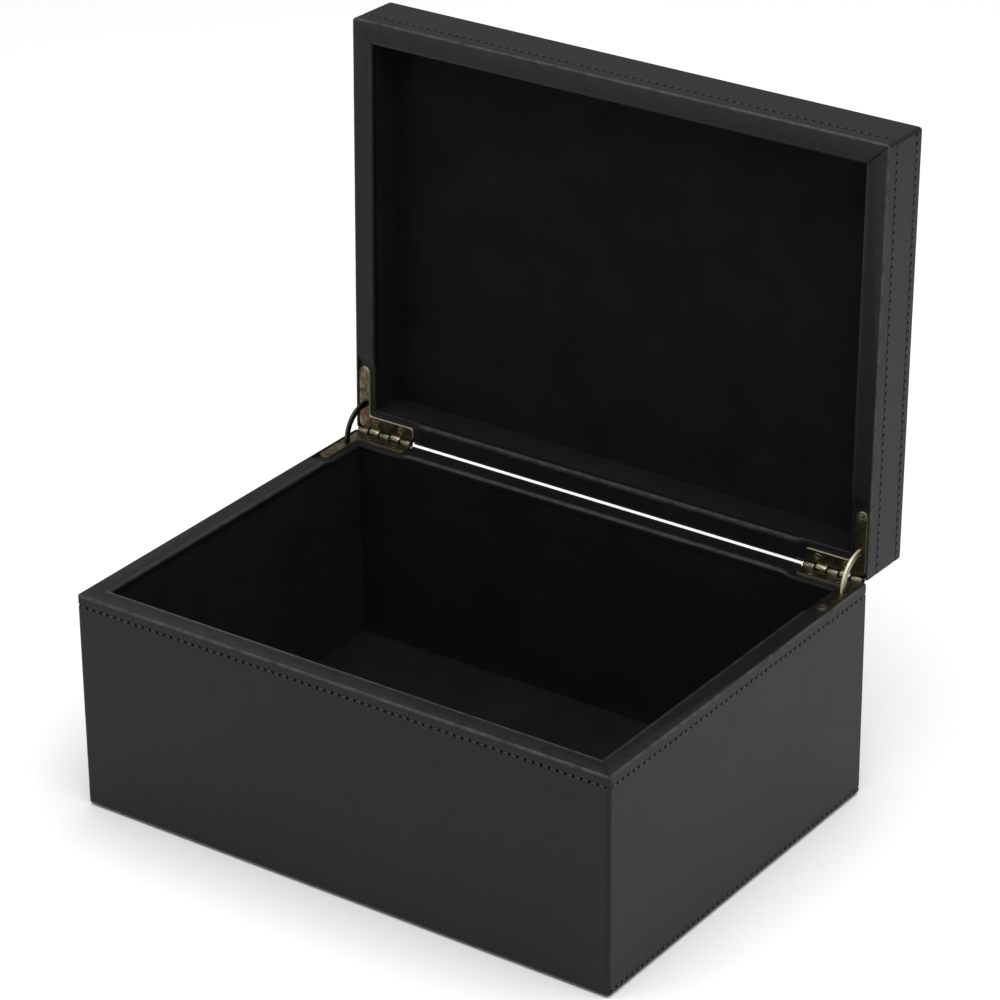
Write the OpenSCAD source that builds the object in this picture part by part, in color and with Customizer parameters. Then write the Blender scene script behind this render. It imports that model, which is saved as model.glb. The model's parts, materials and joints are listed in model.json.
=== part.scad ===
// Stationery box: a board box covered in leather and lined in suede, whose lid
// swings on two quadrant stay hinges set into the rims at the back corners.
// X runs along the long side, Y from front to back and Z up. The origin is the
// centre of the underside. The lid is drawn open, standing at its stop.
//
// Base and lid are both trays. A tray is drawn with its closed face at Z = 0
// and its rim at Z = h, and the lid is the same tray turned over and swung open.

/* [Box] */
// Outer width, left to right
box_w = 330; // [260:1:420]
// Outer depth, front to back
box_d = 239.5; // [190:0.5:320]
// Height of the base, from the table to its rim
base_h = 125; // [60:1:180]
// Height of the lid, from its rim to its top
lid_h = 34; // [30:0.5:60]
// Angle between the two rims when the lid stands open
lid_open_deg = 91.3; // [80:0.1:110]
// Gap between the two rims when the lid is shut
closed_gap = 0.5; // [0.4:0.05:1.5]

/* [Boards] */
// Thickness of the four wall boards
wall_board_t = 10.4; // [9:0.1:14]
// Thickness of the bottom board of the base
bottom_board_t = 4; // [3:0.1:8]
// Thickness of the top board of the lid
top_board_t = 7; // [3:0.1:10]
// Thickness left in the side boards outside the rebates for the end boards
rebate_web = 6.4; // [6.2:0.1:7.4]

/* [Leather] */
// Thickness of the leather
leather_t = 1.2; // [0.8:0.05:1.6]
// Radius of the upright corners
corner_r = 2.2; // [0.5:0.1:3]
// Radius of the outer edges along the rims and faces
edge_r = 1.5; // [0.4:0.1:1.5]
// Radius of the inner edge of the rims
inner_edge_r = 1.1; // [0.2:0.05:1.15]
// Width of the seam where the leather is mitred in the rims' front corners
seam_w = 0.5; // [0.3:0.05:0.8]
// Depth of that seam
seam_depth = 0.4; // [0.2:0.05:0.6]
// Distance from the base's rim down to its upper row of stitches
base_row_rim = 6; // [4:0.1:8]
// Distance from the lid's rim to its row of stitches near the rim
lid_row_rim = 8; // [5:0.1:9]
// Distance from the leather's other edge to the second row, on base and lid
row_edge = 3; // [2.6:0.1:4]
// Width of the groove that each row of stitches draws into the leather
row_w = 1; // [0.6:0.1:1.4]
// Depth of that groove
row_depth = 0.2; // [0.1:0.05:0.4]
// Width of the leather turned in over the bottom and the top
turn_in = 16; // [13:0.5:30]
// Thickness of the leather sheet on top of the lid
top_sheet_t = 0.8; // [0.5:0.1:1.5]
// Distance from the lid's sides to that sheet
top_sheet_inset = 1.6; // [1:0.1:4]

/* [Lining] */
// Thickness of the suede lining
lining_t = 1.2; // [0.6:0.05:1.8]
// Thickness of the suede pad under the base
pad_t = 1; // [0.6:0.1:2]
// Distance from the base's sides to that pad
pad_inset = 3; // [2:0.1:8]

/* [Hinge leaves] */
// Length of each leaf along the back wall
leaf_len = 35.8; // [32:0.1:44]
// Reach of each leaf along the side wall, from the back face
leaf_reach = 38; // [34:0.1:46]
// Thickness of the leaves
leaf_t = 1.4; // [1:0.05:1.6]
// Width of the leg on the side wall
side_leg_w = 6.4; // [6:0.1:7]
// Distance from the back face to the front edge of the leg on the back wall
back_leg_w = 8.7; // [8.2:0.1:10]
// Distance from the side face to the outer edge of the leaves
leaf_inset = 2.6; // [2.4:0.1:3]
// Gap between the two leaves when the lid is shut
leaf_gap = 0.9; // [0.8:0.05:1.2]
// Radius of the leaves' small corners
leaf_r = 1.5; // [0.6:0.1:2.2]

/* [Hinge barrel] */
// Outer radius of the barrel
barrel_r = 1.8; // [1.6:0.05:2]
// Number of knuckles in a barrel
knuckles = 5; // [3:2:7]
// Radius of the hinge pin
pin_r = 0.9; // [0.6:0.05:1.05]
// How far the pin stands out of the barrel at each end
pin_out = 0.5; // [0.2:0.1:0.6]
// Distance from the back face to the hinge axis behind it
axis_back = 0.25; // [0.2:0.05:1]

/* [Quadrant arms] */
// Outer radius of the arm, from the hinge axis
arm_r = 17.3; // [15:0.1:19]
// Width of the arm along its radius
arm_w = 3.3; // [2.6:0.1:4]
// Thickness of the arm
arm_t = 1.5; // [1:0.05:1.8]
// How far the stop at each end stands in from the arm
stop_w = 1.6; // [1:0.1:2.4]
// Length of the stop along the arm, in degrees
stop_deg = 9; // [6:0.5:12]

/* [Screws] */
// Distance from the leaf's outer edge to its nearer screw
screw_near = 11.4; // [10.8:0.1:13]
// Distance from the leaf's outer edge to its farther screw
screw_far = 28.2; // [22:0.1:29]
// Radius of the screw heads
head_r = 2.4; // [2:0.05:2.6]
// Height of a head above the leaf
head_rise = 0.3; // [0.1:0.05:0.35]
// Radius of the screw shanks
shank_r = 1.1; // [0.8:0.05:1.2]
// Length of the screws below the leaf's face
screw_len = 11; // [8:0.5:14]

/* [Recesses and fits] */
// Length of the slope at the end of each hinge recess
ramp_len = 7; // [3:0.5:10]
// Width of the leather lip that stands behind the slope on the back wall
back_lip = 1.6; // [1.3:0.1:1.7]
// Room between a leaf and the walls of its recess
leaf_room = 0.5; // [0.3:0.1:0.8]
// Room round the barrel, and between a leaf and the other leaf's knuckles
barrel_room = 0.35; // [0.25:0.05:0.5]
// Gap between neighbouring knuckles
knuckle_gap = 0.2; // [0.15:0.05:0.4]
// Running clearance of the pin in its knuckles, on the radius
pin_fit = 0.05; // [0.03:0.01:0.1]
// Clearance of the screws in their holes, on the radius
screw_fit = 0.05; // [0.03:0.01:0.1]
// Room on every side of an arm in its slot and its pocket
arm_room = 0.3; // [0.2:0.05:0.4]

/* [Hidden] */
$fn = 96;

LEATHER = [0.16, 0.16, 0.165];
SUEDE = [0.06, 0.06, 0.065];
BOARD = [0.62, 0.5, 0.36];
BRASS = [0.55, 0.5, 0.33];
eps = 0.01;

// Walls
wall_t = leather_t + wall_board_t + lining_t;
half_w = box_w / 2;
half_d = box_d / 2;
// Half the length of the front and back boards, into their rebates
end_board_x = half_w - leather_t - rebate_web;
// Hinge axis: behind the back face, midway between the two closed rims
axis_y = half_d + axis_back;
function axis_z(h) = h + closed_gap / 2;
// Leaf, from the axis: face towards the other leaf, then its underside
leaf_top = leaf_gap / 2;
leaf_under = leaf_top + leaf_t;
leaf_x1 = half_w - leaf_inset;
leaf_x0 = leaf_x1 - leaf_len;
leaf_y0 = half_d - back_leg_w;
leaf_y1 = axis_y - barrel_r - barrel_room;
leg_x = leaf_x1 - side_leg_w / 2;
leg_y = half_d - leaf_reach + side_leg_w / 2;
knuckle_pitch = leaf_len / knuckles;
// Recess: its leather floor carries the leaf's underside
recess_depth = leaf_under - closed_gap / 2;
recess_x0 = leaf_x0 - leaf_room;
recess_x1 = leaf_x1 + leaf_room;
recess_y0 = half_d - leaf_reach - leaf_room;
// Screws of one leaf, as [x, y]
leaf_mid_y = (leaf_y0 + leaf_y1) / 2;
SCREWS = [
    [leaf_x1 - screw_near, leaf_mid_y],
    [leaf_x1 - screw_far, leaf_mid_y],
    [leg_x, leg_y]
];
// Arm: the stops bear on the undersides of the leaves when the lid is open
arm_in = arm_r - arm_w;
stop_in = arm_in - stop_w;
stop_start = asin((leaf_under + 0.1) / stop_in);
arm_end = stop_start + stop_deg;
pocket_end = arm_end + lid_open_deg / 2 + 2;

// Shared forms

module box_at(p0, p1) {
    translate(p0)
        cube(p1 - p0);
}

// Rectangle from p0 to p1 with round corners
module round_rect(p0, p1, r) {
    translate([p0.x + r, p0.y])
        square([p1.x - p0.x - 2 * r, p1.y - p0.y]);
    translate([p0.x, p0.y + r])
        square([p1.x - p0.x, p1.y - p0.y - 2 * r]);
    for (x = [p0.x + r, p1.x - r], y = [p0.y + r, p1.y - r])
        translate([x, y])
            circle(r);
}

// Block from p0 to p1: edges of radius r along X and Y, upright edges of rv
module soft_block(p0, p1, r, rv) {
    intersection() {
        translate([0, 0, p0.z])
            linear_extrude(p1.z - p0.z)
                round_rect([p0.x, p0.y], [p1.x, p1.y], rv);
        translate([0, p1.y, 0])
            rotate([90, 0, 0])
                linear_extrude(p1.y - p0.y)
                    round_rect([p0.x, p0.z], [p1.x, p1.z], r);
        translate([p0.x, 0, 0])
            rotate([90, 0, 90])
                linear_extrude(p1.x - p0.x)
                    round_rect([p0.y, p0.z], [p1.y, p1.z], r);
    }
}

// Arc plate round the hinge axis, from angle a0 to a1 measured from +Y to +Z
module arc_plate(r0, r1, a0, a1, t) {
    rotate([90, 0, 90])
        rotate([0, 0, a0])
            rotate_extrude(angle = a1 - a0)
                translate([r0, -t / 2])
                    square([r1 - r0, t]);
}

// The same on the right and, mirrored, on the left
module both_sides() {
    children();
    mirror([1, 0, 0])
        children();
}

module side(s) {
    mirror([s < 0 ? 1 : 0, 0, 0])
        children();
}

// Turns a tray over onto the base, and swings it open round the hinge axis
module as_lid() {
    translate([0, axis_y, axis_z(base_h)])
        rotate([-lid_open_deg, 0, 0])
            translate([0, -axis_y, closed_gap / 2 + lid_h])
                mirror([0, 0, 1])
                    children();
}

// What the hinges take out of a tray

// Profile of a recess: flat floor from 0 to len, then a slope up to the rim
module recess_profile(len, depth) {
    polygon([
        [0, -depth],
        [len, -depth],
        [len + ramp_len, 0],
        [len + ramp_len, leather_t + 1],
        [0, leather_t + 1]
    ]);
}

// Recess for one hinge, open to the inside and, along the barrel, to the back.
// Its slope on the back wall ends at y_slope
module recess(h, x_out, y_slope, drop) {
    in = wall_t + 1;
    translate([x_out, y_slope, h - drop])
        rotate([90, 0, 0])
            mirror([1, 0, 0])
                linear_extrude(y_slope - half_d + in)
                    recess_profile(x_out - recess_x0, recess_depth);
    box_at([recess_x0, half_d - in, h - drop - recess_depth], [x_out, half_d + 1, h + 1]);
    translate([half_w - in, half_d + 1, h - drop])
        rotate([90, 0, -90])
            mirror([0, 0, 1])
                linear_extrude(x_out - half_w + in)
                    recess_profile(half_d + 1 - recess_y0, recess_depth);
}

// Recesses in the leather keep a lip outside; the boards have none there
module leather_recesses(h) {
    both_sides()
        recess(h, recess_x1, half_d - back_lip, 0);
}

module board_recesses(h) {
    both_sides()
        recess(h, half_w + 1, half_d + 1, leather_t);
}

// Groove that the barrel turns in
module barrel_grooves(h) {
    both_sides()
        translate([leaf_x0 - pin_out - barrel_room, axis_y, axis_z(h)])
            rotate([0, 90, 0])
                cylinder(r = barrel_r + barrel_room, h = leaf_len + pin_out * 2 + barrel_room * 2);
}

// Slot and pocket that the hidden end of an arm slides in
module arm_pockets(h) {
    both_sides()
        translate([leg_x, axis_y, axis_z(h)])
            arc_plate(stop_in - arm_room, arm_r + arm_room, 178, 180 + pocket_end, arm_t + 2 * arm_room);
}

module screw_holes(h) {
    both_sides()
        for (p = SCREWS)
            translate([p.x, p.y, axis_z(h) - leaf_top - screw_len - 1])
                cylinder(r = shank_r + screw_fit, h = screw_len + 1 - leaf_t + leather_t);
}

// Pieces of a tray of height h, with a skin of thickness s on its closed face

module wall_boards_space(h, s) {
    box_at(
        [leather_t - half_w, leather_t - half_d, s + leather_t],
        [half_w - leather_t, half_d - leather_t, h - leather_t]
    );
}

module leather_wrap(h, s, row_rim) {
    w = half_w - wall_t;
    d = half_d - wall_t;
    difference() {
        soft_block([-half_w, -half_d, s], [half_w, half_d, h], edge_r, corner_r);
        difference() {
            wall_boards_space(h, s);
            board_recesses(h);
        }
        box_at([-w, -d, h / 2], [w, d, h + 1]);
        box_at([turn_in - half_w, turn_in - half_d, s - 1], [half_w - turn_in, half_d - turn_in, h / 2 + 1]);
        leather_recesses(h);
        barrel_grooves(h);
        arm_pockets(h);
        screw_holes(h);
        inner_edge_rounds(h);
        rim_seams(h);
        for (z = [s + row_edge, h - row_rim])
            stitch_groove(z);
    }
}

// Shallow groove all the way round, in which a row of stitches lies
module stitch_groove(z) {
    x = half_w - row_depth;
    y = half_d - row_depth;
    translate([0, 0, z - row_w / 2])
        linear_extrude(row_w)
            difference() {
                square([box_w + 2, box_d + 2], center = true);
                round_rect([-x, -y], [x, y], corner_r - row_depth);
            }
}

// Seams in the rim's front corners; the rear ones lie under the hinges
module rim_seams(h) {
    both_sides()
        translate([half_w, -half_d, h])
            rotate([90, 0, 225])
                translate([0, 0, -1])
                    linear_extrude(wall_t * sqrt(2) + 2)
                        polygon([[0, -seam_depth], [seam_w, seam_depth], [-seam_w, seam_depth]]);
}

// Rounds the rim's inner edge, clear of the recesses
module inner_edge_rounds(h) {
    w = half_w - wall_t;
    d = half_d - wall_t;
    for (m = [0, 1])
        mirror([m, 0, 0])
            translate([w, d, h])
                rotate([90, 0, 0])
                    linear_extrude(2 * d)
                        inner_round();
    for (m = [0, 1])
        mirror([0, m, 0])
            translate([-w, d, h])
                rotate([90, 0, 90])
                    linear_extrude(2 * w)
                        inner_round();
}

module inner_round() {
    difference() {
        translate([-inner_edge_r / 2, -inner_edge_r])
            square([inner_edge_r * 1.5, inner_edge_r + 1]);
        translate([inner_edge_r, -inner_edge_r])
            circle(inner_edge_r);
    }
}

module end_board(h, s, back) {
    y = half_d - leather_t;
    difference() {
        mirror([0, back ? 0 : 1, 0])
            box_at([-end_board_x, y - wall_board_t, s + leather_t], [end_board_x, y, h - leather_t]);
        board_recesses(h);
        barrel_grooves(h);
        screw_holes(h);
    }
}

module side_board(h, s, sx) {
    x = half_w - leather_t;
    y = half_d - leather_t;
    difference() {
        side(sx)
            box_at([x - wall_board_t, -y, s + leather_t], [x, y, h - leather_t]);
        rebates(h, s);
        board_recesses(h);
        barrel_grooves(h);
        arm_pockets(h);
        screw_holes(h);
    }
}

// Rebates in the side boards that hold the ends of the front and back boards
module rebates(h, s) {
    y = half_d - leather_t;
    for (m = [0, 1])
        mirror([0, m, 0])
            box_at([-end_board_x, y - wall_board_t, s], [end_board_x, y + 1, h]);
}

// Bottom or top board, whose middle stands out between the turned-in leather
module floor_board(s, t) {
    x = half_w - leather_t - wall_board_t;
    y = half_d - leather_t - wall_board_t;
    w = half_w - turn_in;
    d = half_d - turn_in;
    box_at([-x, -y, s + leather_t], [x, y, s + leather_t + t]);
    box_at([-w, -d, s], [w, d, s + leather_t + 1]);
}

module floor_lining(s, t) {
    x = half_w - leather_t - wall_board_t;
    y = half_d - leather_t - wall_board_t;
    z = s + leather_t + t;
    box_at([-x, -y, z], [x, y, z + lining_t]);
}

module end_lining(h, s, t, back) {
    x = half_w - leather_t - wall_board_t;
    y = half_d - wall_t;
    difference() {
        mirror([0, back ? 0 : 1, 0])
            box_at([-x, y, s + leather_t + t + lining_t], [x, y + lining_t, h - leather_t]);
        board_recesses(h);
    }
}

module side_lining(h, s, t, sx) {
    x = half_w - wall_t;
    y = half_d - wall_t;
    difference() {
        side(sx)
            box_at([x, -y, s + leather_t + t + lining_t], [x + lining_t, y, h - leather_t]);
        board_recesses(h);
    }
}

// Hinge pieces, in the place of the right hinge on a tray of height h

// L-shaped outline of a leaf, with a fillet inside its corner
module leaf_outline() {
    w = side_leg_w;
    round_rect([leaf_x0, leaf_y0], [leaf_x1 - w / 2, leaf_y1], leaf_r);
    translate([leg_x, leg_y])
        circle(w / 2);
    translate([leg_x, leaf_y1 - w / 2])
        circle(w / 2);
    translate([leaf_x1 - w, leg_y])
        square([w, leaf_y1 - w / 2 - leg_y]);
    translate([leg_x - w, leaf_y1 - w / 2])
        square([w, w / 2]);
    difference() {
        translate([leaf_x1 - w - leaf_r, leaf_y0 - leaf_r])
            square(leaf_r);
        translate([leaf_x1 - w - leaf_r, leaf_y0 - leaf_r])
            circle(leaf_r);
    }
}

// Knuckle k from the outer end, with the strip that it is rolled from
module knuckle(h, k) {
    x = leaf_x1 - (k + 1) * knuckle_pitch + knuckle_gap / 2;
    len = knuckle_pitch - knuckle_gap;
    y = leaf_y1 - side_leg_w / 2;
    translate([x, axis_y, axis_z(h)])
        rotate([0, 90, 0])
            cylinder(r = barrel_r, h = len);
    box_at([x, y, axis_z(h) - leaf_under], [x + len, axis_y, axis_z(h) - leaf_top]);
}

// Leaf with every other knuckle, starting at knuckle first
module leaf(h, first) {
    z = axis_z(h) - leaf_under;
    difference() {
        union() {
            translate([0, 0, z])
                linear_extrude(leaf_t)
                    leaf_outline();
            for (k = [first:2:knuckles - 1])
                knuckle(h, k);
        }
        translate([leaf_x0 - 1, axis_y, axis_z(h)])
            rotate([0, 90, 0])
                cylinder(r = pin_r + pin_fit, h = leaf_len + 2);
        for (p = SCREWS)
            translate([p.x, p.y, z - eps])
                cylinder(r1 = shank_r + screw_fit, r2 = head_r + screw_fit, h = leaf_t + 2 * eps);
        arm_slot(h);
    }
}

module arm_slot(h) {
    near = sqrt(pow(arm_in, 2) - pow(leaf_under, 2)) - arm_room;
    far = arm_r + arm_room;
    x = arm_t / 2 + arm_room;
    z = axis_z(h);
    box_at([leg_x - x, axis_y - far, z - leaf_under - 1], [leg_x + x, axis_y - near, z]);
}

module hinge_pin(h) {
    translate([leaf_x0 - pin_out, axis_y, axis_z(h)])
        rotate([0, 90, 0])
            rotate_extrude()
                polygon([
                    [0, 0],
                    [pin_r * 0.6, 0],
                    [pin_r, pin_out * 0.6],
                    [pin_r, leaf_len + pin_out * 1.4],
                    [pin_r * 0.6, leaf_len + 2 * pin_out],
                    [0, leaf_len + 2 * pin_out]
                ]);
}

// Countersunk screw with a low domed head and a cross recess
module screw() {
    difference() {
        rotate_extrude()
            polygon([
                [0, -screw_len],
                [shank_r * 0.25, -screw_len],
                [shank_r, -screw_len + 2.5 * shank_r],
                [shank_r, -leaf_t],
                [head_r, 0],
                [head_r * 0.72, head_rise * 0.8],
                [head_r * 0.35, head_rise],
                [0, head_rise]
            ]);
        for (a = [0, 90])
            rotate([0, 0, a + 20])
                translate([-head_r * 0.55, -head_r * 0.1, -leaf_t * 0.45])
                    cube([head_r * 1.1, head_r * 0.2, leaf_t]);
    }
}

module hinge_screws(h) {
    both_sides()
        for (p = SCREWS)
            translate([p.x, p.y, axis_z(h) - leaf_top])
                screw();
}

// Arm that holds the lid open: an arc with a stop at each hidden end
module quadrant_arm() {
    a0 = 180 - lid_open_deg - arm_end;
    a1 = 180 + arm_end;
    translate([leg_x, axis_y, axis_z(base_h)]) {
        arc_plate(arm_in, arm_r, a0, a1, arm_t);
        arc_plate(stop_in, arm_in + 1, a0, a0 + stop_deg, arm_t);
        arc_plate(stop_in, arm_in + 1, a1 - stop_deg, a1, arm_t);
    }
}

// Base

module base_bottom_board() {
    color(BOARD)
        floor_board(pad_t, bottom_board_t);
}

module base_front_board() {
    color(BOARD)
        end_board(base_h, pad_t, false);
}

module base_back_board() {
    color(BOARD)
        end_board(base_h, pad_t, true);
}

module base_left_board() {
    color(BOARD)
        side_board(base_h, pad_t, -1);
}

module base_right_board() {
    color(BOARD)
        side_board(base_h, pad_t, 1);
}

module base_leather_wrap() {
    color(LEATHER)
        leather_wrap(base_h, pad_t, base_row_rim);
}

module base_bottom_pad() {
    color(SUEDE)
        linear_extrude(pad_t)
            round_rect([pad_inset - half_w, pad_inset - half_d], [half_w - pad_inset, half_d - pad_inset], corner_r);
}

module base_floor_lining() {
    color(SUEDE)
        floor_lining(pad_t, bottom_board_t);
}

module base_front_lining() {
    color(SUEDE)
        end_lining(base_h, pad_t, bottom_board_t, false);
}

module base_back_lining() {
    color(SUEDE)
        end_lining(base_h, pad_t, bottom_board_t, true);
}

module base_left_lining() {
    color(SUEDE)
        side_lining(base_h, pad_t, bottom_board_t, -1);
}

module base_right_lining() {
    color(SUEDE)
        side_lining(base_h, pad_t, bottom_board_t, 1);
}

module left_base_leaf() {
    color(BRASS)
        side(-1)
            leaf(base_h, 0);
}

module right_base_leaf() {
    color(BRASS)
        leaf(base_h, 0);
}

module left_hinge_pin() {
    color(BRASS)
        side(-1)
            hinge_pin(base_h);
}

module right_hinge_pin() {
    color(BRASS)
        hinge_pin(base_h);
}

module base_hinge_screws() {
    color(BRASS)
        hinge_screws(base_h);
}

// Lid

module lid_top_board() {
    color(BOARD)
        as_lid()
            floor_board(top_sheet_t, top_board_t);
}

module lid_front_board() {
    color(BOARD)
        as_lid()
            end_board(lid_h, top_sheet_t, false);
}

module lid_back_board() {
    color(BOARD)
        as_lid()
            end_board(lid_h, top_sheet_t, true);
}

module lid_left_board() {
    color(BOARD)
        as_lid()
            side_board(lid_h, top_sheet_t, -1);
}

module lid_right_board() {
    color(BOARD)
        as_lid()
            side_board(lid_h, top_sheet_t, 1);
}

module lid_leather_wrap() {
    color(LEATHER)
        as_lid()
            leather_wrap(lid_h, top_sheet_t, lid_row_rim);
}

module lid_top_leather() {
    i = top_sheet_inset;
    color(LEATHER)
        as_lid()
            linear_extrude(top_sheet_t)
                round_rect([i - half_w, i - half_d], [half_w - i, half_d - i], corner_r);
}

module lid_top_lining() {
    color(SUEDE)
        as_lid()
            floor_lining(top_sheet_t, top_board_t);
}

module lid_front_lining() {
    color(SUEDE)
        as_lid()
            end_lining(lid_h, top_sheet_t, top_board_t, false);
}

module lid_back_lining() {
    color(SUEDE)
        as_lid()
            end_lining(lid_h, top_sheet_t, top_board_t, true);
}

module lid_left_lining() {
    color(SUEDE)
        as_lid()
            side_lining(lid_h, top_sheet_t, top_board_t, -1);
}

module lid_right_lining() {
    color(SUEDE)
        as_lid()
            side_lining(lid_h, top_sheet_t, top_board_t, 1);
}

module left_lid_leaf() {
    color(BRASS)
        as_lid()
            side(-1)
                leaf(lid_h, 1);
}

module right_lid_leaf() {
    color(BRASS)
        as_lid()
            leaf(lid_h, 1);
}

module lid_hinge_screws() {
    color(BRASS)
        as_lid()
            hinge_screws(lid_h);
}

// Arms

module left_quadrant_arm() {
    color(BRASS)
        side(-1)
            quadrant_arm();
}

module right_quadrant_arm() {
    color(BRASS)
        quadrant_arm();
}

base_bottom_board();
base_front_board();
base_back_board();
base_left_board();
base_right_board();
base_leather_wrap();
base_bottom_pad();
base_floor_lining();
base_front_lining();
base_back_lining();
base_left_lining();
base_right_lining();
left_base_leaf();
right_base_leaf();
left_hinge_pin();
right_hinge_pin();
base_hinge_screws();
lid_top_board();
lid_front_board();
lid_back_board();
lid_left_board();
lid_right_board();
lid_leather_wrap();
lid_top_leather();
lid_top_lining();
lid_front_lining();
lid_back_lining();
lid_left_lining();
lid_right_lining();
left_lid_leaf();
right_lid_leaf();
lid_hinge_screws();
left_quadrant_arm();
right_quadrant_arm();
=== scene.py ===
# %% [markdown]
# # A leather stationery box with a stayed lid
#
# The box is a carcass of board, covered in black grained leather and lined in black suede.
# Its lid swings on two brass quadrant stay hinges. The hinges, screws and arms come finished
# from the CAD model and only get their metal and soft edges here. Leather and suede are soft
# goods, so each is modelled again, as the skin that it is, over the CAD solid that it replaces.

# %% Load the frame
import json
import math

import bmesh
import bpy
from mathutils import Matrix, Quaternion, Vector


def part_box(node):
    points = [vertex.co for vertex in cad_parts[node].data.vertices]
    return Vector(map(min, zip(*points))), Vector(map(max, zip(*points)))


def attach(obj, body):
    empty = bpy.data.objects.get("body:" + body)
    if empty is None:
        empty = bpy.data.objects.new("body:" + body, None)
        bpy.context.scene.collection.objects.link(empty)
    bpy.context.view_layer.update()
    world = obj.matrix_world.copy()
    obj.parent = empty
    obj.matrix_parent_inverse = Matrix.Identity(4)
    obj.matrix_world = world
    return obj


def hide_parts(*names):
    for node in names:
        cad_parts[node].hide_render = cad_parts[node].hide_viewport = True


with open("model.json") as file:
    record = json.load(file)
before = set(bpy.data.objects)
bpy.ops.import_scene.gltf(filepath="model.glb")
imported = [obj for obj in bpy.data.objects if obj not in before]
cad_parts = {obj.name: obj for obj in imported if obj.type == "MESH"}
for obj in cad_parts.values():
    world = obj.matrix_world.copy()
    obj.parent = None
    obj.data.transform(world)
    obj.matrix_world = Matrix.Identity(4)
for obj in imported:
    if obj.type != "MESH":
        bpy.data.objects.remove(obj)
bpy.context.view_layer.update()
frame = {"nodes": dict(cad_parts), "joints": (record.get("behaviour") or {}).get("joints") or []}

# %% [markdown]
# ## Sizes
#
# Everything is in metres. The overall sizes are read from the CAD nodes, so that the skins
# always fit. Base and lid are both trays: an open box with its closed face down at Z = 0 and
# its rim at Z = height. A thin sheet, here called the skin, covers the closed face.

# %% Sizes of the two trays
MM = 0.001
_, wrap_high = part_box("base_leather_wrap")
pad_low, pad_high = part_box("base_bottom_pad")
lining_low, lining_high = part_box("base_left_lining")
back_lining_low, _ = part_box("base_back_lining")

HALF_W = wrap_high.x
HALF_D = wrap_high.y
BASE_H = wrap_high.z
BASE_SKIN = pad_high.z - pad_low.z
LID_H = 34 * MM
LID_SKIN = 0.8 * MM
LINING_T = lining_high.x - lining_low.x
INNER_X = -lining_high.x
INNER_Y = back_lining_low.y
WALL_T = HALF_W - INNER_X
TRAYS = {
    "base": {"height": BASE_H, "skin": BASE_SKIN},
    "lid": {"height": LID_H, "skin": LID_SKIN},
}
print("outer", 2 * HALF_W, 2 * HALF_D, BASE_H, "wall", round(WALL_T, 4))

# %% [markdown]
# ## Where the lid stands
#
# A tilted box is awkward to model, because no face lies along an axis. So the lid's tray is
# modelled lying flat, like the base. When a piece of it is finished, its mesh is turned over,
# set on the base and swung open about the hinge axis, as the maker would mount the real lid.

# %% Where a finished tray goes when it is the lid
CLOSED_GAP = 0.5 * MM
lid_joint = next(j for j in frame["joints"] if j["name"] == "lid_hinge")
HINGE = Vector(lid_joint["pos_m"])
OPEN_ANGLE = math.radians(lid_joint["range_deg"][1])


def lid_placement():
    on_base = Matrix.Translation((0, 0, BASE_H + CLOSED_GAP + LID_H))
    turned = on_base @ Matrix.Rotation(math.pi, 4, "Y")
    swing = Matrix.Rotation(-OPEN_ANGLE, 4, "X")
    return Matrix.Translation(HINGE) @ swing @ Matrix.Translation(-HINGE) @ turned


LID_PLACE = lid_placement()
print("lid stands open by", round(math.degrees(OPEN_ANGLE), 1), "degrees")

# %% [markdown]
# ## Working by hand, in code
#
# Blender's operators act on what is selected. So small helpers do what the mouse would: one
# makes an object active, one opens it for editing, one selects the vertices, edges or faces
# that pass a test of their place, and one cuts the selected faces along a plane.


# %% Selecting and editing
def only(piece):
    bpy.ops.object.select_all(action="DESELECT")
    piece.select_set(True)
    bpy.context.view_layer.objects.active = piece


def edit(piece):
    only(piece)
    bpy.ops.object.mode_set(mode="EDIT")


def done():
    bpy.ops.object.mode_set(mode="OBJECT")


def pick(piece, test, kind="FACE"):
    """Selects what passes the test and says how many that are."""
    bpy.ops.mesh.select_mode(type=kind)
    bpy.ops.mesh.select_all(action="DESELECT")
    shape = bmesh.from_edit_mesh(piece.data)
    items = {"FACE": shape.faces, "EDGE": shape.edges, "VERT": shape.verts}[kind]
    chosen = [item for item in items if test(item)]
    for item in chosen:
        item.select_set(True)
    shape.select_flush_mode()
    bmesh.update_edit_mesh(piece.data)
    return len(chosen)


def cut(piece, point, normal, test=lambda face: True):
    if pick(piece, test):
        bpy.ops.mesh.bisect(plane_co=point, plane_no=normal)


print("selecting:", [helper.__name__ for helper in (only, edit, done, pick, cut)])


# %% Blocks, modifiers and edges
def block(name, low, high):
    low, high = Vector(low), Vector(high)
    bpy.ops.object.select_all(action="DESELECT")
    bpy.ops.mesh.primitive_cube_add(size=1, location=(low + high) / 2)
    piece = bpy.context.active_object
    piece.name = piece.data.name = name
    piece.scale = high - low
    bpy.ops.object.transform_apply(location=True, rotation=True, scale=True)
    return piece


def apply_modifier(piece, kind, **settings):
    only(piece)
    modifier = piece.modifiers.new(kind.title(), kind)
    for key, value in settings.items():
        setattr(modifier, key, value)
    bpy.ops.object.modifier_apply(modifier=modifier.name)


def smooth(piece, degrees=35):
    only(piece)
    bpy.ops.object.shade_smooth_by_angle(angle=math.radians(degrees))


def middle(edge):
    return (edge.verts[0].co + edge.verts[1].co) / 2


def along(edge):
    return (edge.verts[1].co - edge.verts[0].co).normalized()


print("shaping:", [helper.__name__ for helper in (block, apply_modifier, smooth, middle, along)])

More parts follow.
